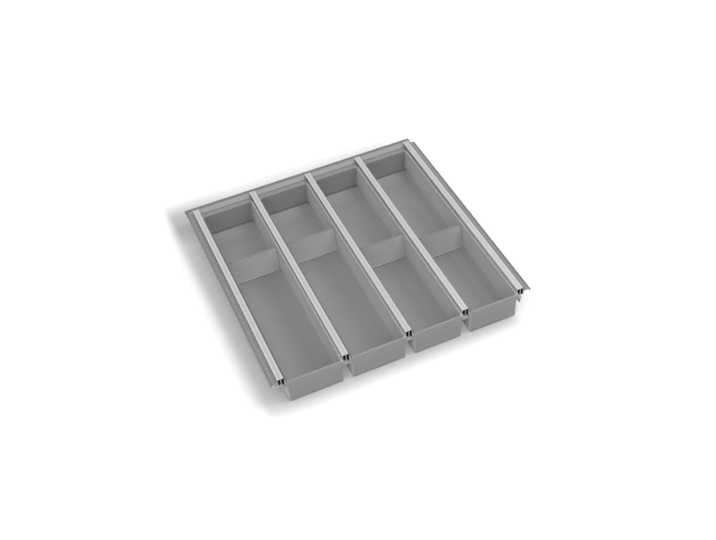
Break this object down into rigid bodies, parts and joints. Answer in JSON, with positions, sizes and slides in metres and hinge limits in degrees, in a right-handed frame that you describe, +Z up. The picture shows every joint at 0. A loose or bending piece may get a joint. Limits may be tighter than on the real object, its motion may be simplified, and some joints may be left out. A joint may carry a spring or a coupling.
{
  "type": "modular cutlery tray",
  "caption": "Drawer insert for cutlery: long open bins side by side, joined by aluminium rails over their edges, each parted by a sliding cross divider.",
  "frame": {"origin": "centre of the whole tray's footprint, on the plane that the bins' floors stand on", "axes": "+Z up; +X across the bins to the right; +Y to the back, along the bins, the tray's longest extent by a hair; the rails' open ends and the bins' front walls face -Y"},
  "size_m": [0.4884, 0.489, 0.06],
  "materials": {
    "bin_plastic": "fine matt grain",
    "divider_plastic": "fine matt grain, slightly lighter",
    "rail_aluminium": "satin anodised, drawn lengthwise"
  },
  "bodies": {
    "tray": {"bin_wide_left": "bin_plastic", "bin_wide_right": "bin_plastic", "bin_narrow_left": "bin_plastic", "bin_narrow_right": "bin_plastic", "edge_strip_left": "bin_plastic", "edge_strip_right": "bin_plastic", "rail_1": "rail_aluminium", "rail_2": "rail_aluminium", "rail_3": "rail_aluminium", "rail_4": "rail_aluminium", "rail_5": "rail_aluminium"},
    "divider_1": {"divider_1": "divider_plastic"},
    "divider_2": {"divider_2": "divider_plastic"},
    "divider_3": {"divider_3": "divider_plastic"},
    "divider_4": {"divider_4": "divider_plastic"}
  },
  "joints": [
    {"name": "divider_1_slide", "type": "slide", "parent": "tray", "child": "divider_1", "axis": [0, 1, 0], "range_m": [-0.2898, 0.121]},
    {"name": "divider_2_slide", "type": "slide", "parent": "tray", "child": "divider_2", "axis": [0, 1, 0], "range_m": [-0.2888, 0.122]},
    {"name": "divider_3_slide", "type": "slide", "parent": "tray", "child": "divider_3", "axis": [0, 1, 0], "range_m": [-0.2128, 0.198]},
    {"name": "divider_4_slide", "type": "slide", "parent": "tray", "child": "divider_4", "axis": [0, 1, 0], "range_m": [-0.1868, 0.224]}
  ]
}
